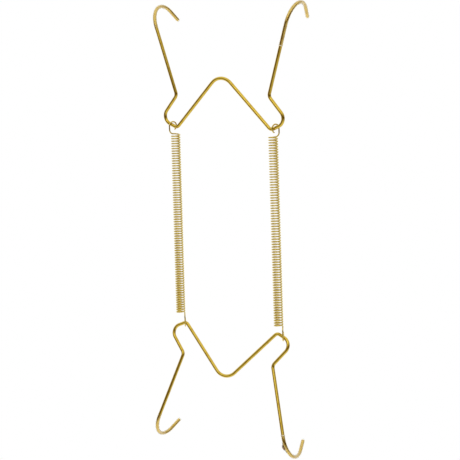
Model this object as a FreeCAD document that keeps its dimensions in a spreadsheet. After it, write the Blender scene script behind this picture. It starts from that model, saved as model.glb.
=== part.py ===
"""Wire plate hanger: two bent wires with hooks, two extension springs and four clear hook sleeves.

The hanger is modelled as it hangs: +Z up, hooks towards -Y, the wall behind it at +Y. The origin is the
underside of the upper wire's peak, where the nail carries it. Millimetres and degrees.
"""

import FreeCAD
import Part

import math
import os

from FreeCAD import Placement, Rotation, Vector

SIZES = {
    # heavy wire
    "wire_dia": 1.85,
    "corner_spacing": 58.4,
    "vee_angle": 46.5,
    "peak_radius": 7.9,
    "corner_radius": 2.4,
    "foot_angle": 24.3,
    "ear_foot": 11.2,
    "ear_radius": 4.7,
    "ear_side": 17.1,
    "ear_angle": 39.4,
    "kink_radius": 3.2,
    "arm_length": 38.9,
    "arm_angle": 16.7,
    "hook_radius": 11.2,
    "hook_angle": 135.6,
    "tip_length": 6.9,
    # springs
    "spring_wire": 0.75,
    "spring_dia": 5.4,
    "spring_turns": 74,
    "loop_dia": 5.4,
    "upper_neck": 2.1,
    "lower_neck": 3.3,
    "loop_gap_angle": 24.0,
    "seat_slack": 0.7,
    # where each spring loop sits: out from the corner's lowest point, and round its coil
    "upper_left_seat": 2.2,
    "upper_left_angle": 155.0,
    "lower_left_seat": 3.3,
    "lower_left_angle": 203.0,
    "upper_right_seat": 2.2,
    "upper_right_angle": -25.0,
    "lower_right_seat": 0.1,
    "lower_right_angle": 210.0,
    # clear sleeves on the hooks
    "sleeve_wall": 0.16,
    "sleeve_fit": 0.04,
    "sleeve_cap": 0.7,
    "sleeve_length": 34.5,
    "long_sleeve_length": 45.0,
    # the stance: how far apart the springs hold the wires, and how far the lower one leans back
    "wire_gap": 111.5,
    "fold_angle": 18.0,
}

FLAT_SIDES = 4  # sides of the coil's flattened section
STATIONS = 7  # sections in one turn of a coil


def make_sheet(doc):
    """Put the driving dimensions in a spreadsheet, one alias a row."""
    sheet = doc.addObject("Spreadsheet::Sheet", "Sizes")
    for row, (alias, value) in enumerate(SIZES.items(), start=1):
        sheet.set(f"A{row}", alias)
        sheet.set(f"B{row}", str(value))
        sheet.setAlias(f"B{row}", alias)
    doc.recompute()
    return sheet


def rounded_path(points, radii):
    """A wire along points, with an arc of its own radius at each inner point."""
    edges = []
    start = points[0]
    for before, corner, after, radius in zip(points, points[1:], points[2:], radii):
        back = (before - corner).normalize()
        ahead = (after - corner).normalize()
        half_turn = (math.pi - back.getAngle(ahead)) / 2
        run_in = corner + back * radius * math.tan(half_turn)
        run_out = corner + ahead * radius * math.tan(half_turn)
        inwards = (back + ahead).normalize()
        middle = corner + inwards * radius * (1 / math.cos(half_turn) - 1)
        if (run_in - start).Length > 1e-6:
            edges.append(Part.LineSegment(start, run_in).toShape())
        edges.append(Part.Arc(run_in, middle, run_out).toShape())
        start = run_out
    edges.append(Part.LineSegment(start, points[-1]).toShape())
    return Part.Wire(edges)


def stretch(wire, first, last):
    """The part of a wire between two distances along it."""
    edges = []
    passed = 0.0
    for edge in wire.Edges:
        begin = max(first - passed, 0.0)
        end = min(last - passed, edge.Length)
        if end - begin > 1e-6:
            limits = [edge.getParameterByLength(distance) for distance in (begin, end)]
            edges.append(edge.Curve.toShape(*limits))
        passed += edge.Length
    return Part.Wire(edges)


class Hanger:
    """The document, its sizes and the sub-parts made from them."""

    def __init__(self):
        self.doc = FreeCAD.newDocument("PlateHanger")
        self.sheet = make_sheet(self.doc)
        self.sub_parts = []

    def size(self, alias):
        """A driving dimension, read from the sheet."""
        return float(self.sheet.get(alias))

    def angle(self, alias):
        """A driving angle, in radians."""
        return math.radians(self.size(alias))

    def keep(self, piece, label):
        """Name a finished sub-part."""
        piece.Label = label
        self.sub_parts.append(piece)
        return piece

    def half_outline(self):
        """The wire's bend points from the spring corner out to the hook's tip, on the +X side."""
        corner = Vector(self.size("corner_spacing") / 2, 0, 0)
        rise, lean, splay = self.angle("foot_angle"), self.angle("ear_angle"), self.angle("arm_angle")
        ear = corner + Vector(math.cos(rise), 0, math.sin(rise)) * self.size("ear_foot")
        kink = ear + Vector(-math.sin(lean), 0, math.cos(lean)) * self.size("ear_side")
        along_arm = Vector(math.sin(splay), 0, math.cos(splay))
        forwards = Vector(0, -1, 0)

        # the hook turns in two equal bends, from the arm towards the front and back down
        bend = self.angle("hook_angle") / 2
        run = self.size("hook_radius") * math.tan(bend / 2)
        over = along_arm * math.cos(bend) + forwards * math.sin(bend)
        down = along_arm * math.cos(2 * bend) + forwards * math.sin(2 * bend)
        rising = kink + along_arm * (self.size("arm_length") + run)
        falling = rising + over * 2 * run
        tip = falling + down * (run + self.size("tip_length"))
        return [corner, ear, kink, rising, falling, tip]

    def wire_path(self):
        """The centre line of one heavy wire, corners on the X axis, from the -X tip to the +X tip."""
        right = self.half_outline()
        left = [Vector(-point.x, point.y, point.z) for point in reversed(right)]
        peak = Vector(0, 0, self.size("corner_spacing") / 2 * math.tan(self.angle("vee_angle")))
        names = ["corner_radius", "ear_radius", "kink_radius", "hook_radius", "hook_radius"]
        bends = [self.size(name) for name in names]
        radii = bends[::-1] + [self.size("peak_radius")] + bends
        return rounded_path(left + [peak] + right, radii)

    def seat(self, alias):
        """The centre line's point where a spring loop sits, out from the +X corner's lowest point."""
        slope, rise = self.angle("vee_angle"), self.angle("foot_angle")
        radius, out = self.size("corner_radius"), self.size(alias)
        lean = (slope - rise) / 2
        to_centre = Vector(math.sin(lean), 0, math.cos(lean)) * radius / math.cos((slope + rise) / 2)
        lowest = Vector(self.size("corner_spacing") / 2, 0, -radius) + to_centre

        # first round the corner's bend, then up the foot of the ear
        turned = min(math.asin(min(out / radius, 1.0)), rise)
        bend = Vector(math.sin(turned), 0, 1 - math.cos(turned)) * radius
        return lowest + bend + Vector(1, 0, math.tan(rise)) * (out - bend.x)

    def peak_top(self):
        """The height of the wire's centre line at the peak."""
        slope = self.angle("vee_angle")
        vertex = self.size("corner_spacing") / 2 * math.tan(slope)
        return vertex - self.size("peak_radius") * (1 / math.cos(slope) - 1)

    def upper_place(self):
        """The upper wire hangs with the underside of its peak at the origin."""
        return Placement(Vector(0, 0, self.size("wire_dia") / 2 - self.peak_top()), Rotation())

    def lower_place(self):
        """The lower wire is turned over below the upper one, and leans back on its springs."""
        turned_over = Rotation(Vector(0, 1, 0), 180)
        fold = Rotation(Vector(1, 0, 0), self.size("fold_angle"))
        base = self.upper_place().Base - Vector(0, 0, self.size("wire_gap"))
        return Placement(base, fold * turned_over)

    def swept(self, name, path, placement, radius):
        """A round rod along a path; radius is an expression on the sheet."""
        spine = self.doc.addObject("Part::Feature", name + "_path")
        spine.Shape = path
        spine.Placement = placement
        start = spine.Shape.Edges[0]
        section = self.doc.addObject("Part::Circle", name + "_section")
        section.setExpression("Radius", radius)
        facing = Rotation(Vector(0, 0, 1), start.tangentAt(start.FirstParameter))
        section.Placement = Placement(start.valueAt(start.FirstParameter), facing)
        rod = self.doc.addObject("Part::Sweep", name + "_rod")
        rod.Sections = [section]
        rod.Spine = (spine, [f"Edge{i + 1}" for i in range(len(path.Edges))])
        rod.Solid = True
        return rod

    def make_wire(self, label, placement):
        """One heavy wire, swept along its bent centre line."""
        rod = self.swept(label, self.wire_path(), placement, "Sizes.wire_dia / 2")
        return self.keep(rod, label)

    def make_sleeve(self, label, placement, side, length):
        """A clear sleeve over one hook, closed past its tip; side is +1 or -1 along the wire's own X."""
        whole = self.wire_path()
        cap = self.size("sleeve_cap")
        fit = self.size("sleeve_fit")
        run_back = 1.0
        outside = stretch(whole, whole.Length - length, whole.Length)
        inside = stretch(whole, whole.Length - length - run_back, whole.Length)
        outside = Part.Wire(outside.Edges + [self.past_tip(cap)])
        inside = Part.Wire(inside.Edges + [self.past_tip(fit)])
        if side < 0:
            outside = outside.mirror(Vector(), Vector(1, 0, 0))
            inside = inside.mirror(Vector(), Vector(1, 0, 0))
        bore_radius = "Sizes.wire_dia / 2 + Sizes.sleeve_fit"
        shell = self.swept(label + "_shell", outside, placement, bore_radius + " + Sizes.sleeve_wall")
        bore = self.swept(label + "_bore", inside, placement, bore_radius)
        sleeve = self.doc.addObject("Part::Cut", label)
        sleeve.Base = shell
        sleeve.Tool = bore
        return self.keep(sleeve, label)

    def past_tip(self, distance):
        """A short run that carries the hook's line past its tip."""
        falling, tip = self.half_outline()[-2:]
        return Part.LineSegment(tip, tip + (tip - falling).normalize() * distance).toShape()

    def spring_line(self, upper_corner, lower_corner, upper_side, lower_side):
        """Points along one spring's wire: loop, coil, loop.

        Each loop is a ring round the heavy wire's corner. It stands on the coil's rim, in the plane that
        touches the coil there, at its own angle round the coil's axis. The coil is wound right-handed.
        """
        thin = self.size("spring_wire")
        coil_radius = (self.size("spring_dia") - thin) / 2
        loop_radius = (self.size("loop_dia") - thin) / 2
        upper_neck, lower_neck = self.size("upper_neck"), self.size("lower_neck")
        seat = (self.size("wire_dia") + thin) / 2 + self.size("seat_slack")
        upper_ring = upper_corner + Vector(0, 0, seat - loop_radius)
        lower_ring = lower_corner - Vector(0, 0, seat - loop_radius)

        def rim(side):
            return Vector(math.cos(side), math.sin(side), 0)

        def along_rim(side):
            return Vector(-math.sin(side), math.cos(side), 0)

        coil_top = upper_ring - rim(upper_side) * coil_radius - Vector(0, 0, loop_radius + upper_neck)
        coil_end = lower_ring - rim(lower_side) * coil_radius + Vector(0, 0, loop_radius + lower_neck)
        part_turn = (upper_side - lower_side) % (2 * math.pi)
        whole_turns = round(self.size("spring_turns") - part_turn / (2 * math.pi))
        sweep = whole_turns * 2 * math.pi + part_turn

        def neck_drop(neck, turned):
            """How much of a neck lies behind a point that is turned past its loop's foot by this angle."""
            share = min(max(turned / math.pi + 0.5, 0.0), 1.0)
            return neck * share * share * (3 - 2 * share)

        def loop_point(ring, neck, side, turned, upwards):
            around = along_rim(side) * math.sin(turned) - upwards * math.cos(turned)
            return ring + around * loop_radius - upwards * neck_drop(neck, -abs(turned))

        def coil_point(turned):
            share = turned / sweep
            axis = coil_top * (1 - share) + coil_end * share
            lift = upper_neck - neck_drop(upper_neck, turned)
            settle = lower_neck - neck_drop(lower_neck, sweep - turned)
            return axis + rim(upper_side - turned) * coil_radius + Vector(0, 0, lift - settle)

        up = Vector(0, 0, 1)
        step = 2 * math.pi / STATIONS
        ring_sweep = 2 * math.pi - self.angle("loop_gap_angle")
        ring_steps = 2 * STATIONS
        ring_turns = [ring_sweep * i / ring_steps for i in range(ring_steps, 0, -1)]
        coil_steps = round(sweep / step)
        points = [loop_point(upper_ring, upper_neck, upper_side, turned, up) for turned in ring_turns]
        points += [coil_point(sweep * i / coil_steps) for i in range(coil_steps + 1)]
        ring_turns.reverse()
        points += [loop_point(lower_ring, lower_neck, lower_side, -turned, -up) for turned in ring_turns]
        return points

    def make_spring(self, label, upper_seat, lower_seat, upper_loop, lower_loop):
        """One extension spring: a flat-sided section of the wire's own area, lofted along its line."""
        points = self.spring_line(upper_seat, lower_seat, upper_loop, lower_loop)
        side_turn = 2 * math.pi / FLAT_SIDES
        reach = self.size("spring_wire") / 2 * math.sqrt(side_turn / math.sin(side_turn))
        turns = [side_turn * i for i in range(FLAT_SIDES + 1)]
        sections = []
        across = Vector(0, 0, 1)
        for before, point, after in zip([points[0]] + points, points, points[1:] + [points[-1]]):
            ahead = (after - before).normalize()
            across = (across - ahead * across.dot(ahead)).normalize()
            aside = ahead.cross(across)
            ring = [point + (across * math.cos(turn) + aside * math.sin(turn)) * reach for turn in turns]
            sections.append(Part.makePolygon(ring))
        spring = self.doc.addObject("Part::Feature", label)
        spring.Shape = Part.makeLoft(sections, True, True)
        return self.keep(spring, label)

    def build(self):
        """Make every sub-part where it sits on the hanger."""
        upper, lower = self.upper_place(), self.lower_place()
        self.make_wire("upper_wire", upper)
        self.make_wire("lower_wire", lower)

        # the lower wire is turned over, so its own +X end is on the hanger's left
        for side in ("left", "right"):
            upper_seat, lower_seat = self.seat(f"upper_{side}_seat"), self.seat(f"lower_{side}_seat")
            if side == "left":
                upper_seat.x = -upper_seat.x
            else:
                lower_seat.x = -lower_seat.x
            loops = self.angle(f"upper_{side}_angle"), self.angle(f"lower_{side}_angle")
            self.make_spring(f"{side}_spring", upper.multVec(upper_seat), lower.multVec(lower_seat), *loops)

        usual, longer = self.size("sleeve_length"), self.size("long_sleeve_length")
        self.make_sleeve("upper_left_sleeve", upper, -1, longer)
        self.make_sleeve("upper_right_sleeve", upper, 1, usual)
        self.make_sleeve("lower_left_sleeve", lower, 1, usual)
        self.make_sleeve("lower_right_sleeve", lower, -1, usual)
        self.doc.recompute()

    def check(self):
        """Stop if any object failed or any sub-part isn't one sound solid."""
        failed = [item.Name for item in self.doc.Objects if {"Invalid", "Error"} & set(item.State)]
        if failed:
            raise RuntimeError(f"failed objects: {failed}")
        for piece in self.sub_parts:
            shape = piece.Shape
            if shape.isNull() or not shape.isValid() or len(shape.Solids) != 1:
                raise RuntimeError(f"{piece.Label} is not one sound solid")

    def export(self):
        """Write each sub-part to a file of its own."""
        os.makedirs("parts", exist_ok=True)
        for piece in self.sub_parts:
            piece.Shape.exportStep(f"parts/{piece.Label}.step")


def main():
    """Build, check and write the hanger."""
    hanger = Hanger()
    hanger.build()
    hanger.check()
    hanger.export()


if __name__ == "__main__":
    main()
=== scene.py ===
"""Wire plate hanger, dressed: bent brass-plated wires, extension springs and clear hook sleeves.

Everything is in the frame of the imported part, in metres: +Z up, the hooks reach towards -Y and
the wall is at +Y. The origin is the underside of the upper wire's peak, where the nail carries
the hanger.
"""

import logging
import math
from dataclasses import dataclass, field
from enum import Enum

import bpy
from mathutils import Matrix, Vector


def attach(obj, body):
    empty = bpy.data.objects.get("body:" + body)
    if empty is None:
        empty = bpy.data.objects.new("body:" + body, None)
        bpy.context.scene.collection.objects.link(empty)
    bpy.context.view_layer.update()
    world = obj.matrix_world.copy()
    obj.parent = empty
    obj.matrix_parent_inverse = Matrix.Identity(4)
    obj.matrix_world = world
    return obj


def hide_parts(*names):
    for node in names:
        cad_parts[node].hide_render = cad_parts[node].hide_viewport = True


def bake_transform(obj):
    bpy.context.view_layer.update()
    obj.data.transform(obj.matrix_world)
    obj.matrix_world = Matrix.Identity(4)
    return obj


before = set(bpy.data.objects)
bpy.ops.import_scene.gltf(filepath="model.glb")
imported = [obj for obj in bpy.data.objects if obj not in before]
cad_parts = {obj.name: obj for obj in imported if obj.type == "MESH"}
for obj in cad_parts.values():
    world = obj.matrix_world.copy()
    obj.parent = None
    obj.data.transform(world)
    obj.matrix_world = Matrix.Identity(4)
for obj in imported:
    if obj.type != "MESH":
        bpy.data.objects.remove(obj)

LOG = logging.getLogger("plate_hanger")
MM = 0.001
UP = Vector((0, 0, 1))

# faces that meet at less than this angle are shaded as one smooth surface
SMOOTH_BELOW = math.radians(40)

# a ring's points are looked for within this many radii of its centre
RING_REACH = 1.05


class End(Enum):
    """The two ends of the hanger."""

    UPPER = "upper"
    LOWER = "lower"


class Side(Enum):
    """The two sides of the hanger, with the sign of their X."""

    LEFT = -1
    RIGHT = 1


def linear(colour: str) -> tuple[float, float, float, float]:
    """Turn an sRGB hex colour into linear light.

    Args:
        colour: six hex digits after a hash.

    Returns:
        Linear red, green, blue and a full alpha.
    """
    channels = [int(colour[i : i + 2], 16) / 255 for i in (1, 3, 5)]
    light = [c / 12.92 if c <= 0.04045 else ((c + 0.055) / 1.055) ** 2.4 for c in channels]
    return (*light, 1.0)


def add_node(
    tree: bpy.types.NodeTree, kind: str, values: dict, links: dict, **settings
) -> bpy.types.Node:
    """Add a shader node with its settings, socket values and links.

    Args:
        tree: the node tree to add to.
        kind: the node's type name.
        values: socket name or number to the value it holds.
        links: socket name or number to the output that feeds it.
        settings: properties of the node itself.

    Returns:
        The new node.
    """
    node = tree.nodes.new(kind)
    for name, value in settings.items():
        setattr(node, name, value)
    for socket, value in values.items():
        node.inputs[socket].default_value = value
    for socket, output in links.items():
        tree.links.new(output, node.inputs[socket])
    return node


def empty_material(name: str) -> tuple[bpy.types.Material, bpy.types.NodeTree, bpy.types.Node]:
    """Make a node material with nothing but its output.

    Args:
        name: the material's name.

    Returns:
        The material, its node tree and its output node.
    """
    material = bpy.data.materials.new(name)
    material.use_nodes = True
    tree = material.node_tree
    tree.nodes.clear()
    return material, tree, tree.nodes.new("ShaderNodeOutputMaterial")


@dataclass(frozen=True)
class BrassPlating:
    """Bright brass plating on drawn steel wire.

    It gives the eye a mirror-like yellow metal, a little browner in patches where it tarnishes,
    with reflections that a fine grain from the drawing softens.
    """

    name: str
    bright: str
    tarnished: str
    roughness: float
    patch: float = 2.5 * MM
    patch_detail: float = 3.0
    tarnish_from: float = 0.45
    tarnish_to: float = 0.75
    # the real grain is finer, and this one is as coarse as it needs to be to show
    grain: float = 0.25 * MM
    grain_detail: float = 2.0
    grain_depth: float = 0.004 * MM
    grain_strength: float = 0.25

    def material(self) -> bpy.types.Material:
        """Build the plating's material."""
        material, tree, output = empty_material(self.name)
        place = add_node(tree, "ShaderNodeTexCoord", {}, {}).outputs["Object"]
        patches = add_node(
            tree,
            "ShaderNodeTexNoise",
            {"Scale": 1 / self.patch, "Detail": self.patch_detail},
            {"Vector": place},
        )
        share = add_node(
            tree,
            "ShaderNodeMapRange",
            {"From Min": self.tarnish_from, "From Max": self.tarnish_to},
            {"Value": patches.outputs["Fac"]},
        )
        colour = add_node(
            tree,
            "ShaderNodeMix",
            {"A": linear(self.bright), "B": linear(self.tarnished)},
            {"Factor": share.outputs["Result"]},
            data_type="RGBA",
        )
        grain = add_node(
            tree,
            "ShaderNodeTexNoise",
            {"Scale": 1 / self.grain, "Detail": self.grain_detail},
            {"Vector": place},
        )
        bump = add_node(
            tree,
            "ShaderNodeBump",
            {"Strength": self.grain_strength, "Distance": self.grain_depth},
            {"Height": grain.outputs["Fac"]},
        )
        plating = add_node(
            tree,
            "ShaderNodeBsdfPrincipled",
            {"Metallic": 1.0, "Roughness": self.roughness},
            {"Base Color": colour.outputs["Result"], "Normal": bump.outputs["Normal"]},
        )
        tree.links.new(plating.outputs["BSDF"], output.inputs["Surface"])
        return material


@dataclass(frozen=True)
class ClearVinyl:
    """Soft clear vinyl tube, dipped or heat shrunk.

    It gives the eye a glossy, nearly colourless skin over the wire with a faint yellow cast.
    A paler, cloudier copy paints a glint on a cut mouth, and a brown, nearly opaque copy paints shade
    into a fold.
    """

    name: str
    tint: str
    roughness: float
    clearness: float = 1.0
    ior: float = 1.53

    def material(self) -> bpy.types.Material:
        """Build the vinyl's material."""
        material, tree, output = empty_material(self.name)
        vinyl = add_node(
            tree,
            "ShaderNodeBsdfPrincipled",
            {
                "Base Color": linear(self.tint),
                "Roughness": self.roughness,
                "IOR": self.ior,
                "Transmission Weight": self.clearness,
            },
            {},
        )
        tree.links.new(vinyl.outputs["BSDF"], output.inputs["Surface"])
        return material


# the heavy wires mirror the sweep and the room in long light and dark streaks
WIRE_PLATING = BrassPlating("brass-plated steel wire", "#d9bb4d", "#c4a137", 0.12)

# the springs are a paler brass, and their close turns break the mirror up into glints
SPRING_PLATING = BrassPlating("brass-plated spring wire", "#dfc970", "#cdb355", 0.12)

# a sleeve shows as a thin glossy edge along the brass inside it
SLEEVE_VINYL = ClearVinyl("clear soft vinyl", "#fffdf4", 0.06)

# a cut mouth is painted as a pale, cloudy band: a painted glint on its edge
MOUTH_GLINT_VINYL = ClearVinyl("vinyl mouth painted glint", "#fff3d0", 0.5, 0.3)

# the ruck's fold is painted brown and nearly opaque: painted shade in the fold
FOLD_SHADE_VINYL = ClearVinyl("vinyl fold painted shade", "#b07f2c", 0.25, 0.1)


def deselect_all() -> None:
    """Leave nothing selected, in object mode."""
    if bpy.context.mode != "OBJECT":
        bpy.ops.object.mode_set(mode="OBJECT")
    bpy.ops.object.select_all(action="DESELECT")


def take_up(piece: bpy.types.Object) -> None:
    """Select one piece alone and make it the active one."""
    deselect_all()
    piece.select_set(True)
    bpy.context.view_layer.objects.active = piece


def bake_place(piece: bpy.types.Object) -> None:
    """Put a piece's place in its mesh, so that its object sits at the origin."""
    take_up(piece)
    bpy.ops.object.transform_apply(location=True, rotation=True, scale=True)


def select_near(piece: bpy.types.Object, centre: Vector, reach: float) -> None:
    """Enter edit mode with only the points near a place selected.

    Args:
        piece: the mesh object to edit.
        centre: the place.
        reach: how far from it a point may be.
    """
    take_up(piece)
    bpy.ops.object.mode_set(mode="EDIT")
    bpy.ops.mesh.select_mode(type="VERT")
    bpy.ops.mesh.select_all(action="DESELECT")
    bpy.ops.object.mode_set(mode="OBJECT")
    for vertex in piece.data.vertices:
        vertex.select = (vertex.co - centre).length < reach
    bpy.ops.object.mode_set(mode="EDIT")


def close_tube() -> None:
    """Close the open ends of the tube in edit mode, turn its faces outwards and smooth it."""
    bpy.ops.mesh.select_all(action="SELECT")
    bpy.ops.mesh.fill_holes(sides=0)
    bpy.ops.mesh.normals_make_consistent(inside=False)
    bpy.ops.object.mode_set(mode="OBJECT")
    bpy.ops.object.shade_smooth_by_angle(angle=SMOOTH_BELOW)


@dataclass(frozen=True)
class Bend:
    """A round bend between two straight runs."""

    start: Vector
    centre: Vector
    axis: Vector
    turn: float

    @classmethod
    def at(cls, before: Vector, corner: Vector, after: Vector, radius: float) -> "Bend":
        """Round off a corner.

        Args:
            before: a point on the run that comes in.
            corner: where the two runs would meet.
            after: a point on the run that goes out.
            radius: the bend's radius.

        Returns:
            The bend that touches both runs.
        """
        back, ahead = (before - corner).normalized(), (after - corner).normalized()
        turn = math.pi - back.angle(ahead)
        start = corner + back * radius * math.tan(turn / 2)
        centre = corner + (back + ahead).normalized() * radius / math.cos(turn / 2)
        return cls(start, centre, (-back).cross(ahead).normalized(), turn)

    def point(self, angle: float) -> Vector:
        """The point on the bend's centre line that lies an angle on from its start."""
        return self.centre + Matrix.Rotation(angle, 3, self.axis) @ (self.start - self.centre)


class TubeBender:
    """Draws a round tube forwards: straight by extruding its end ring, round by spinning it."""

    STEP = math.radians(5)
    FEWEST_STEPS = 2
    SHORTEST = 0.001 * MM

    def __init__(self, piece: bpy.types.Object, place: Vector) -> None:
        """Take a mesh in edit mode, with the tube's end ring selected, and that ring's centre."""
        self.piece = piece
        self.place = place.copy()

    @classmethod
    def begin(
        cls, name: str, radius: float, sides: int, place: Vector, ahead: Vector
    ) -> "TubeBender":
        """Start a tube from an open ring.

        Args:
            name: the piece's name.
            radius: the tube's radius.
            sides: points in the ring.
            place: the ring's centre.
            ahead: the way that the tube will run.

        Returns:
            A bender whose end ring is selected.
        """
        deselect_all()
        turn = ahead.to_track_quat("Z", "Y").to_euler()
        bpy.ops.mesh.primitive_circle_add(
            vertices=sides, radius=radius, location=place, rotation=turn
        )
        piece = bpy.context.object
        piece.name = piece.data.name = name
        bake_place(piece)
        bpy.ops.object.mode_set(mode="EDIT")
        bpy.ops.mesh.select_mode(type="VERT")
        bpy.ops.mesh.select_all(action="SELECT")
        return cls(piece, place)

    def run_to(self, place: Vector) -> None:
        """Draw the tube straight to a place, unless one bend runs on from another there."""
        step = place - self.place
        if step.length < self.SHORTEST:
            return
        bpy.ops.mesh.extrude_region_move(TRANSFORM_OT_translate={"value": step})
        self.place = place.copy()

    def bend(self, centre: Vector, axis: Vector, angle: float) -> None:
        """Bend the tube round a centre.

        Args:
            centre: the middle of the bend.
            axis: the axis that the tube turns about, by the right-hand rule.
            angle: how far it turns, in radians.
        """
        steps = max(round(angle / self.STEP), self.FEWEST_STEPS)
        bpy.ops.mesh.spin(steps=steps, angle=-angle, center=centre, axis=axis)
        self.place = centre + Matrix.Rotation(angle, 3, axis) @ (self.place - centre)

    def follow(self, points: list[Vector], radii: list[float]) -> None:
        """Draw the tube along points, with a bend of its own radius at each inner one.

        Args:
            points: the bend points; the tube's end is on the run from the first to the second.
            radii: one radius for each inner point.
        """
        for before, corner, after, radius in zip(points, points[1:], points[2:], radii):
            rounded = Bend.at(before, corner, after, radius)
            self.run_to(rounded.start)
            self.bend(rounded.centre, rounded.axis, rounded.turn)
        self.run_to(points[-1])


@dataclass(frozen=True)
class WireShape:
    """The bent form of both heavy wires, as an upper wire with its spring corners on the X axis."""

    wire_radius: float = 0.925 * MM
    corner_spacing: float = 58.4 * MM
    vee_angle: float = math.radians(46.5)
    peak_radius: float = 7.9 * MM
    corner_radius: float = 2.4 * MM
    foot_angle: float = math.radians(24.3)
    ear_foot: float = 11.2 * MM
    ear_radius: float = 4.7 * MM
    ear_side: float = 17.1 * MM
    ear_angle: float = math.radians(39.4)
    kink_radius: float = 3.2 * MM
    arm_length: float = 38.9 * MM
    arm_angle: float = math.radians(16.7)
    hook_radius: float = 11.2 * MM
    hook_angle: float = math.radians(135.6)
    tip_length: float = 6.9 * MM

    def along_arm(self) -> Vector:
        """The way the right arm runs, out and up."""
        return Vector((math.sin(self.arm_angle), 0, math.cos(self.arm_angle)))

    def half(self) -> list[Vector]:
        """The bend points from the right spring corner out to the hook's tip."""
        foot = Vector((math.cos(self.foot_angle), 0, math.sin(self.foot_angle)))
        side = Vector((-math.sin(self.ear_angle), 0, math.cos(self.ear_angle)))
        corner = Vector((self.corner_spacing / 2, 0, 0))
        ear = corner + foot * self.ear_foot
        kink = ear + side * self.ear_side
        arm, forwards = self.along_arm(), Vector((0, -1, 0))

        # the hook turns in two equal bends, from the arm over to the front and back down
        bend = self.hook_angle / 2
        run = self.hook_radius * math.tan(bend / 2)
        over = arm * math.cos(bend) + forwards * math.sin(bend)
        down = arm * math.cos(2 * bend) + forwards * math.sin(2 * bend)
        rising = kink + arm * (self.arm_length + run)
        falling = rising + over * 2 * run
        tip = falling + down * (run + self.tip_length)
        return [corner, ear, kink, rising, falling, tip]

    def vertex(self) -> float:
        """The height at which the two slopes of the V would meet."""
        return self.corner_spacing / 2 * math.tan(self.vee_angle)

    def outline(self) -> tuple[list[Vector], list[float]]:
        """The whole wire's bend points from the left tip to the right one, and the bends' radii."""
        right = self.half()
        left = [Vector((-point.x, point.y, point.z)) for point in reversed(right)]
        peak = Vector((0, 0, self.vertex()))
        hook = [self.hook_radius, self.hook_radius]
        bends = [self.corner_radius, self.ear_radius, self.kink_radius, *hook]
        return left + [peak] + right, bends[::-1] + [self.peak_radius] + bends

    def peak_top(self) -> float:
        """The height of the wire's centre line at the peak."""
        return self.vertex() - self.peak_radius * (1 / math.cos(self.vee_angle) - 1)

    def hook_run(self) -> float:
        """The length of wire from the end of the arm to the hook's tip."""
        return self.hook_radius * self.hook_angle + self.tip_length

    def seat(self, out: float) -> Vector:
        """Where a spring loop sits on the right corner.

        Args:
            out: distance out from the corner's lowest point.

        Returns:
            The point on the wire's centre line.
        """
        lean = (self.vee_angle - self.foot_angle) / 2
        reach = self.corner_radius / math.cos((self.vee_angle + self.foot_angle) / 2)
        lowest = Vector((self.corner_spacing / 2, 0, -self.corner_radius))
        lowest += Vector((math.sin(lean), 0, math.cos(lean))) * reach
        turned = min(math.asin(min(out / self.corner_radius, 1.0)), self.foot_angle)
        bend = Vector((math.sin(turned), 0, 1 - math.cos(turned))) * self.corner_radius
        return lowest + bend + Vector((1, 0, math.tan(self.foot_angle))) * (out - bend.x)


@dataclass(frozen=True)
class Stance:
    """Where the wires sit: the upper one on its nail, the lower one turned over and leaning back."""

    shape: WireShape
    wire_gap: float = 111.5 * MM
    fold_angle: float = math.radians(18.0)

    def place(self, end: End) -> Matrix:
        """The placing of a wire's own shape on the hanger.

        Args:
            end: which wire.

        Returns:
            The matrix from the wire's own frame to the hanger's.
        """
        height = self.shape.wire_radius - self.shape.peak_top()
        if end is End.UPPER:
            return Matrix.Translation((0, 0, height))
        fold = Matrix.Rotation(self.fold_angle, 4, "X")
        turned_over = Matrix.Rotation(math.pi, 4, "Y")
        return Matrix.Translation((0, 0, height - self.wire_gap)) @ fold @ turned_over

    def own_side(self, end: End, side: Side) -> int:
        """The sign of a side's X in a wire's own frame: the lower wire is turned over."""
        return side.value if end is End.UPPER else -side.value

    def seat(self, end: End, side: Side, out: float) -> Vector:
        """Where a spring loop sits on the hanger.

        Args:
            end: which wire.
            side: which of its corners.
            out: distance out from the corner's lowest point.

        Returns:
            The point on the wire's centre line.
        """
        point = self.shape.seat(out)
        point.x *= self.own_side(end, side)
        return self.place(end) @ point


@dataclass
class HookWire:
    """One heavy wire: a peak, two spring corners, two arms and two hooks, bent from one length."""

    end: End
    stance: Stance
    finish: bpy.types.Material
    sides: int = 24
    burr: float = 0.18 * MM
    burr_steps: int = 3

    @property
    def node(self) -> str:
        """The CAD node that this wire stands for."""
        return f"{self.end.value}_wire"

    def build(self) -> bpy.types.Object:
        """Bend the wire and round off its two cut ends."""
        points, radii = self.stance.shape.outline()
        place = self.stance.place(self.end)
        points = [place @ point for point in points]
        radius = self.stance.shape.wire_radius
        ahead = points[1] - points[0]
        bender = TubeBender.begin(f"{self.node}_bent", radius, self.sides, points[0], ahead)
        bender.follow(points, radii)
        close_tube()
        for tip in (points[0], points[-1]):
            select_near(bender.piece, tip, radius * RING_REACH)
            bpy.ops.mesh.bevel(offset=self.burr, segments=self.burr_steps, affect="EDGES")
            bpy.ops.object.mode_set(mode="OBJECT")
        bpy.ops.object.shade_smooth_by_angle(angle=SMOOTH_BELOW)
        return bender.piece

    def dress(self) -> bpy.types.Object:
        """Build the wire, give it its finish and hand it to its body."""
        piece = self.build()
        piece.data.materials.append(self.finish)
        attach(piece, f"{self.end.value}_end")
        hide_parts(self.node)
        return piece


@dataclass(frozen=True)
class SleeveLook:
    """The finishes of a sleeve: its clear tube, a cut mouth with a painted glint and a ruck with
    painted shade in its fold.
    """

    clear: bpy.types.Material
    # painted glint: the pale, cloudy band at a cut mouth
    cut: bpy.types.Material
    # painted shade: the brown, nearly opaque fold of the ruck
    gathered: bpy.types.Material


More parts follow.
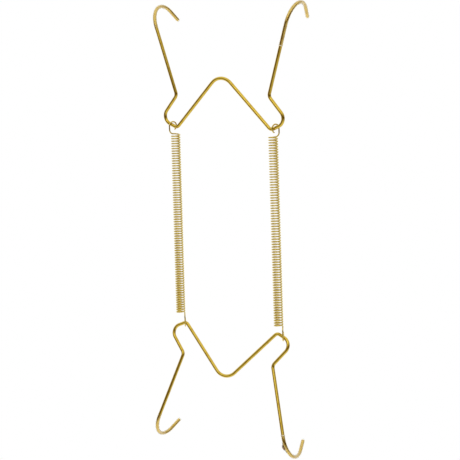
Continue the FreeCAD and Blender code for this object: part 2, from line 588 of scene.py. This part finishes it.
@dataclass
class HookSleeve:
    """A clear sleeve pushed over one hook, closed and rounded past the wire's tip."""

    end: End
    side: Side
    stance: Stance
    look: SleeveLook
    length: float
    ruck: float = 0.0
    ruck_run: float = 6.8 * MM
    ruck_spread: float = 2.0
    ruck_bite: float = 0.7
    cut: float = 0.6 * MM
    wall: float = 0.16 * MM
    fit: float = 0.04 * MM
    cap: float = 0.7 * MM
    cap_round: float = 0.7
    cap_steps: int = 5
    sides: int = 24

    @property
    def node(self) -> str:
        """The CAD node that this sleeve stands for."""
        return f"{self.end.value}_{self.side.name.lower()}_sleeve"

    @property
    def radius(self) -> float:
        """The outer radius of the sleeve."""
        return self.stance.shape.wire_radius + self.fit + self.wall

    def path(self) -> list[Vector]:
        """The sleeve's bend points, from its mouth on the arm to its closed tip."""
        shape = self.stance.shape
        kink, rising, falling, tip = shape.half()[2:]
        mouth = kink + shape.along_arm() * (shape.arm_length + shape.hook_run() - self.length)
        end = tip + (tip - falling).normalized() * self.cap
        place = self.stance.place(self.end)
        across = Vector((self.stance.own_side(self.end, self.side), 1, 1))
        return [place @ (point * across) for point in (mouth, rising, falling, end)]

    def build(self) -> bpy.types.Object:
        """Draw the sleeve over the hook, round its tip and give it its wall."""
        points = self.path()
        ahead = (points[1] - points[0]).normalized()
        bender = TubeBender.begin(f"{self.node}_clear", self.radius, self.sides, points[0], ahead)
        bender.run_to(points[0] + ahead * self.cut)
        bender.follow(points, [self.stance.shape.hook_radius] * 2)
        bpy.ops.mesh.edge_face_add()
        bpy.ops.mesh.bevel(
            offset=self.cap * self.cap_round, segments=self.cap_steps, affect="EDGES"
        )
        bpy.ops.mesh.select_all(action="SELECT")
        bpy.ops.mesh.normals_make_consistent(inside=False)
        bpy.ops.object.mode_set(mode="OBJECT")
        wall = bender.piece.modifiers.new("wall", "SOLIDIFY")
        wall.thickness = self.wall
        wall.offset = -1.0
        bpy.ops.object.modifier_apply(modifier=wall.name)
        bpy.ops.object.shade_smooth_by_angle(angle=SMOOTH_BELOW)
        return bender.piece

    def patch(
        self, piece: bpy.types.Object, centre: Vector, reach: float, finish: bpy.types.Material
    ) -> None:
        """Give the faces near a place a finish of their own.

        Args:
            piece: the sleeve.
            centre: the place.
            reach: how far from it a face may go.
            finish: the finish.
        """
        select_near(piece, centre, reach)
        piece.data.materials.append(finish)
        piece.active_material_index = len(piece.data.materials) - 1
        bpy.ops.object.material_slot_assign()
        bpy.ops.object.mode_set(mode="OBJECT")

    def paint_mouth_glint(self, piece: bpy.types.Object) -> None:
        """Paint a glint on the cut band at the sleeve's mouth with the pale, cloudy finish."""
        corner_reach = math.hypot(self.radius, self.cut)
        self.patch(piece, self.path()[0], corner_reach * RING_REACH, self.look.cut)

    def pucker(self, piece: bpy.types.Object) -> None:
        """Push one side of the sleeve out into a ruck, where vinyl gathered on the bend, and paint
        shade into its fold.

        Args:
            piece: the sleeve.
        """
        hook_radius = self.stance.shape.hook_radius
        rounded = Bend.at(*self.path()[:3], hook_radius)
        inwards = Vector((-self.side.value, 0, 0))
        crest = rounded.point(self.ruck_run / hook_radius) + inwards * (self.radius + self.ruck)

        # the outer face's nearest points are pulled out to the crest, and the skin round them follows
        select_near(piece, crest, self.ruck + self.wall * self.ruck_bite)
        bpy.ops.transform.translate(
            value=inwards * self.ruck,
            use_proportional_edit=True,
            use_proportional_connected=True,
            proportional_edit_falloff="SMOOTH",
            proportional_size=self.ruck * self.ruck_spread,
        )
        bpy.ops.object.mode_set(mode="OBJECT")
        # the ruck's fold gets the brown, nearly opaque finish: painted shade
        self.patch(piece, crest, self.ruck * self.ruck_spread, self.look.gathered)

    def dress(self) -> bpy.types.Object:
        """Build the sleeve, give it its finishes and hand it to its body."""
        piece = self.build()
        piece.data.materials.append(self.look.clear)
        # the left sleeves' mouths get a pale band, a painted glint on the cut edge
        if self.side is Side.LEFT:
            self.paint_mouth_glint(piece)
        if self.ruck:
            self.pucker(piece)
        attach(piece, f"{self.end.value}_end")
        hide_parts(self.node)
        return piece


@dataclass(frozen=True)
class Loop:
    """How a spring's end hooks onto a wire: how far out, where round the coil, and its neck."""

    seat: float
    angle: float
    neck: float


@dataclass
class ExtensionSpring:
    """One open-wound extension spring with a side loop at each end, hooked over the corners."""

    side: Side
    stance: Stance
    finish: bpy.types.Material
    loops: dict[End, Loop]
    wire_radius: float = 0.375 * MM
    coil_radius: float = 2.325 * MM
    loop_radius: float = 2.325 * MM
    loop_gap: float = math.radians(24)
    seat_slack: float = 0.7 * MM
    turns: int = 74
    steps: int = 20
    sides: int = 10
    # the coil leans a little, so its end rings are looked for a little further from the loops' feet
    end_reach: float = 1.3

    @property
    def node(self) -> str:
        """The CAD node that this spring stands for."""
        return f"{self.side.name.lower()}_spring"

    def outwards(self, end: End) -> Vector:
        """The way from the coil out to a loop."""
        return UP if end is End.UPPER else -UP

    def rim(self, end: End) -> Vector:
        """The way from the coil's axis to the foot of a loop."""
        angle = self.loops[end].angle
        return Vector((math.cos(angle), math.sin(angle), 0))

    def leaves_by(self, end: End) -> Vector:
        """The way the wire of the right-handed coil is going as it leaves the coil at one end."""
        tangent = UP.cross(self.rim(end))
        return tangent if end is End.UPPER else -tangent

    def foot(self, end: End) -> Vector:
        """Where the coil's wire turns off into a loop."""
        seat = self.stance.seat(end, self.side, self.loops[end].seat)
        hang = self.stance.shape.wire_radius + self.wire_radius + self.seat_slack
        return seat + self.outwards(end) * (hang - 2 * self.loop_radius - self.loops[end].neck)

    def wind(self) -> bpy.types.Object:
        """Wind the coil: a ring of the spring's wire, carried round and down by a screw."""
        top = self.foot(End.UPPER) - self.rim(End.UPPER) * self.coil_radius
        bottom = self.foot(End.LOWER) - self.rim(End.LOWER) * self.coil_radius
        part_turn = (self.loops[End.UPPER].angle - self.loops[End.LOWER].angle) % math.tau
        sweep = round(self.turns - part_turn / math.tau) * math.tau + part_turn

        deselect_all()
        bpy.ops.mesh.primitive_circle_add(
            vertices=self.sides, radius=self.wire_radius, rotation=(math.pi / 2, 0, 0)
        )
        piece = bpy.context.object
        piece.name = piece.data.name = f"{self.node}_wound"
        bake_place(piece)
        bpy.ops.object.mode_set(mode="EDIT")
        bpy.ops.mesh.select_all(action="SELECT")
        bpy.ops.transform.translate(value=(self.coil_radius, 0, 0))
        bpy.ops.object.mode_set(mode="OBJECT")

        coil = piece.modifiers.new("coil", "SCREW")
        coil.axis = "Z"
        coil.angle = -sweep
        coil.screw_offset = -(top - bottom).length
        coil.iterations = 1
        coil.steps = coil.render_steps = round(sweep / math.tau * self.steps)
        bpy.ops.object.modifier_apply(modifier=coil.name)

        start = Matrix.Rotation(self.loops[End.UPPER].angle, 4, "Z")
        lean = UP.rotation_difference(top - bottom).to_matrix().to_4x4()
        piece.matrix_world = Matrix.Translation(top) @ lean @ start
        bake_place(piece)
        return piece

    def bend_loop(self, piece: bpy.types.Object, end: End) -> None:
        """Carry the coil's wire off into a ring round the heavy wire.

        Args:
            piece: the wound coil.
            end: which end of it.
        """
        foot = self.foot(end)
        outwards = self.outwards(end)
        select_near(piece, foot, self.wire_radius * self.end_reach)
        bender = TubeBender(piece, foot)
        centre = foot + outwards * self.loop_radius
        axis = self.leaves_by(end).cross(outwards)
        neck = outwards * self.loops[end].neck

        # a quarter turn up onto the neck, then three quarters round, short of closing by the gap
        bender.bend(centre, axis, math.pi / 2)
        bender.run_to(bender.place + neck)
        bender.bend(centre + neck, axis, 1.5 * math.pi - self.loop_gap)
        bpy.ops.object.mode_set(mode="OBJECT")

    def build(self) -> bpy.types.Object:
        """Wind the coil and bend its two loops."""
        piece = self.wind()
        for end in End:
            self.bend_loop(piece, end)
        bpy.ops.object.mode_set(mode="EDIT")
        close_tube()
        return piece

    def dress(self) -> bpy.types.Object:
        """Build the spring, give it its finish and leave it in the hanger's frame."""
        piece = self.build()
        piece.data.materials.append(self.finish)
        self.foot(End.UPPER)
        self.foot(End.LOWER)
        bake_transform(piece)
        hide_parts(self.node)
        return piece


@dataclass(frozen=True)
class Viewpoint:
    """The photograph's camera, with its scale, focus and centre in the picture's own pixels."""

    azimuth: float = math.radians(-149.87)
    elevation: float = math.radians(11.57)
    roll: float = math.radians(-2.27)
    target: Vector = field(default_factory=lambda: Vector((0, 0, -81.9 * MM)))
    picture: int = 460
    scale: float = 0.55 * MM
    focus: float = 1162.3
    centre: tuple[float, float] = (227.0, 229.6)
    sensor: float = 36.0

    def axes(self) -> tuple[Vector, Vector, Vector]:
        """The picture's right and up, and the way back to the camera."""
        turn, rise = self.azimuth, self.elevation
        level = math.cos(rise)
        back = Vector((math.sin(turn) * level, -math.cos(turn) * level, math.sin(rise)))
        right = Vector((math.cos(turn), math.sin(turn), 0))
        rolled = Matrix.Rotation(self.roll, 3, back)
        return rolled @ right, rolled @ back.cross(right), back

    def place_camera(self) -> None:
        """Make the camera and give it to the scene."""
        right, up, back = self.axes()
        lens = bpy.data.cameras.new("camera")
        lens.sensor_width = self.sensor
        lens.lens = self.sensor * self.focus / self.picture
        middle = self.picture / 2
        lens.shift_x = (middle - self.centre[0]) / self.picture
        lens.shift_y = (self.centre[1] - middle) / self.picture
        camera = bpy.data.objects.new("camera", lens)
        place = Matrix.Translation(self.target + back * self.focus * self.scale)
        camera.matrix_world = place @ Matrix((right, up, back)).transposed().to_4x4()
        bpy.context.collection.objects.link(camera)
        bpy.context.scene.camera = camera


@dataclass
class Studio:
    """A white sweep over, under and behind the hanger, a dim warm room before it, and a soft lamp.

    The room gives way to the sweep between two cosines, and the lamp's bearing is its share of the
    picture's right, up and back.
    """

    viewpoint: Viewpoint
    white: str = "#ffffff"
    room: str = "#604a08"
    sweep_from: float = -0.05
    sweep_to: float = 0.75
    floor_paint: str = "#f4f4f2"
    floor_drop: float = 1.5
    floor_size: float = 2.0
    softbox_size: float = 0.55
    softbox_far: float = 1.4
    softbox_power: float = 1.1
    softbox_bearing: tuple[float, float, float] = (-0.38, 0.22, 0.9)

    def floor_share(self, tree: bpy.types.NodeTree) -> bpy.types.NodeSocket:
        """One where a ray comes from the camera, off metal or through vinyl, and else nothing.

        Args:
            tree: the floor's node tree.

        Returns:
            The output that holds the share.
        """
        ray = add_node(tree, "ShaderNodeLightPath", {}, {}).outputs
        carried = add_node(
            tree,
            "ShaderNodeMath",
            {},
            {0: ray["Is Glossy Ray"], 1: ray["Is Transmission Ray"]},
            operation="MAXIMUM",
        )
        seen = add_node(
            tree,
            "ShaderNodeMath",
            {},
            {0: ray["Is Camera Ray"], 1: carried.outputs["Value"]},
            operation="MAXIMUM",
        )
        return seen.outputs["Value"]

    def sweep_share(self, tree: bpy.types.NodeTree) -> bpy.types.NodeSocket:
        """One where a ray comes from the camera, straight or through vinyl, and else nothing.

        Args:
            tree: the world's node tree.

        Returns:
            The output that holds the share.
        """
        ray = add_node(tree, "ShaderNodeLightPath", {}, {}).outputs

        # a glossy depth below one half means that no metal mirrored the ray on its way
        unmirrored = add_node(
            tree, "ShaderNodeMath", {1: 0.5}, {0: ray["Glossy Depth"]}, operation="LESS_THAN"
        )
        through = add_node(
            tree,
            "ShaderNodeMath",
            {},
            {0: ray["Is Transmission Ray"], 1: unmirrored.outputs["Value"]},
            operation="MULTIPLY",
        )
        seen = add_node(
            tree,
            "ShaderNodeMath",
            {},
            {0: ray["Is Camera Ray"], 1: through.outputs["Value"]},
            operation="MAXIMUM",
        )
        return seen.outputs["Value"]

    def light_world(self) -> None:
        """White where the camera looks; in metal, white behind, above and below, else a dim room."""
        world = bpy.data.worlds.new("studio")
        bpy.context.scene.world = world
        world.use_nodes = True
        tree = world.node_tree
        tree.nodes.clear()
        _, _, back = self.viewpoint.axes()
        ray = add_node(tree, "ShaderNodeTexCoord", {}, {}).outputs["Generated"]
        behind = add_node(
            tree, "ShaderNodeVectorMath", {1: -back}, {0: ray}, operation="DOT_PRODUCT"
        )
        rising = add_node(tree, "ShaderNodeVectorMath", {1: UP}, {0: ray}, operation="DOT_PRODUCT")
        upright = add_node(
            tree, "ShaderNodeMath", {}, {0: rising.outputs["Value"]}, operation="ABSOLUTE"
        )
        towards = add_node(
            tree,
            "ShaderNodeMath",
            {},
            {0: behind.outputs["Value"], 1: upright.outputs["Value"]},
            operation="MAXIMUM",
        )
        share = add_node(
            tree,
            "ShaderNodeMapRange",
            {"From Min": self.sweep_from, "From Max": self.sweep_to},
            {"Value": towards.outputs["Value"]},
            interpolation_type="SMOOTHSTEP",
        )
        lit = add_node(
            tree,
            "ShaderNodeMix",
            {"A": linear(self.room), "B": linear(self.white)},
            {"Factor": share.outputs["Result"]},
            data_type="RGBA",
        )
        shown = add_node(
            tree,
            "ShaderNodeMix",
            {"B": linear(self.white)},
            {"Factor": self.sweep_share(tree), "A": lit.outputs["Result"]},
            data_type="RGBA",
        )
        sky = add_node(
            tree, "ShaderNodeBackground", {"Strength": 1.0}, {"Color": shown.outputs["Result"]}
        )
        output = tree.nodes.new("ShaderNodeOutputWorld")
        tree.links.new(sky.outputs["Background"], output.inputs["Surface"])

    def lay_floor(self) -> None:
        """A pale floor far below the hanger, as white as the sweep."""
        deselect_all()
        bpy.ops.mesh.primitive_plane_add(size=self.floor_size, location=(0, 0, -self.floor_drop))
        floor = bpy.context.object
        floor.name = "floor"
        material, tree, output = empty_material("matt white floor")
        paint = add_node(tree, "ShaderNodeBsdfDiffuse", {"Color": linear(self.floor_paint)}, {})
        glow = add_node(
            tree, "ShaderNodeEmission", {"Color": linear(self.white), "Strength": 1.0}, {}
        )
        mixed = add_node(
            tree,
            "ShaderNodeMixShader",
            {},
            {0: self.floor_share(tree), 1: paint.outputs["BSDF"], 2: glow.outputs["Emission"]},
        )
        tree.links.new(mixed.outputs["Shader"], output.inputs["Surface"])
        floor.data.materials.append(material)

    def hang_softbox(self) -> None:
        """One broad soft lamp, above the camera and to its left."""
        right, up, back = self.viewpoint.axes()
        lamp = bpy.data.lights.new("softbox", "AREA")
        lamp.shape = "SQUARE"
        lamp.size = self.softbox_size
        lamp.energy = self.softbox_power
        softbox = bpy.data.objects.new("softbox", lamp)
        sideways, upwards, backwards = self.softbox_bearing
        bearing = (right * sideways + up * upwards + back * backwards).normalized()
        softbox.location = self.viewpoint.target + bearing * self.softbox_far
        softbox.rotation_mode = "QUATERNION"
        softbox.rotation_quaternion = bearing.to_track_quat("Z", "Y")
        bpy.context.collection.objects.link(softbox)

    def set_up(self) -> None:
        """Light the room, lay the floor, hang the lamp and place the camera."""
        self.light_world()
        self.lay_floor()
        self.hang_softbox()
        self.viewpoint.place_camera()
        bpy.context.scene.view_settings.view_transform = "Standard"


@dataclass
class PlateHanger:
    """The whole hanger: two wires, two springs and four sleeves."""

    stance: Stance
    sleeve_length: float = 34.5 * MM
    long_sleeve_length: float = 45.0 * MM
    ruck: float = 1.2 * MM
    upper_neck: float = 2.1 * MM
    lower_neck: float = 3.3 * MM
    upper_seat: float = 2.2 * MM
    lower_left_seat: float = 3.3 * MM
    lower_right_seat: float = 0.1 * MM
    upper_left_angle: float = math.radians(155)
    upper_right_angle: float = math.radians(-25)
    lower_left_angle: float = math.radians(203)
    lower_right_angle: float = math.radians(210)

    def sleeve_lengths(self) -> dict[tuple[End, Side], float]:
        """How much of each hook its sleeve covers: one was pushed further on."""
        lengths = {(end, side): self.sleeve_length for end in End for side in Side}
        lengths[End.UPPER, Side.LEFT] = self.long_sleeve_length
        return lengths

    def loops(self, side: Side) -> dict[End, Loop]:
        """How a spring's two loops sit on the wires.

        Args:
            side: which spring.

        Returns:
            The loop at each end of the spring.
        """
        if side is Side.LEFT:
            upper = Loop(self.upper_seat, self.upper_left_angle, self.upper_neck)
            lower = Loop(self.lower_left_seat, self.lower_left_angle, self.lower_neck)
        else:
            upper = Loop(self.upper_seat, self.upper_right_angle, self.upper_neck)
            lower = Loop(self.lower_right_seat, self.lower_right_angle, self.lower_neck)
        return {End.UPPER: upper, End.LOWER: lower}

    def dress(self) -> list[bpy.types.Object]:
        """Build and dress every piece.

        Returns:
            The dressed pieces.
        """
        heavy, thin = WIRE_PLATING.material(), SPRING_PLATING.material()
        vinyl = SleeveLook(
            SLEEVE_VINYL.material(), MOUTH_GLINT_VINYL.material(), FOLD_SHADE_VINYL.material()
        )
        pieces = [HookWire(end, self.stance, heavy).dress() for end in End]
        for side in Side:
            spring = ExtensionSpring(side, self.stance, thin, self.loops(side))
            pieces.append(spring.dress())
        for (end, side), length in self.sleeve_lengths().items():
            ruck = self.ruck if (end, side) == (End.LOWER, Side.LEFT) else 0.0
            pieces.append(HookSleeve(end, side, self.stance, vinyl, length, ruck).dress())
        return pieces


def main() -> None:
    """Dress the hanger, set up the studio and report each piece."""
    logging.basicConfig(level=logging.INFO, format="%(name)s: %(message)s")
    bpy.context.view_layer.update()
    hanger = PlateHanger(Stance(WireShape()))
    for piece in hanger.dress():
        LOG.info("%s: %d faces", piece.name, len(piece.data.polygons))
    Studio(Viewpoint()).set_up()


if __name__ == "__main__":
    main()
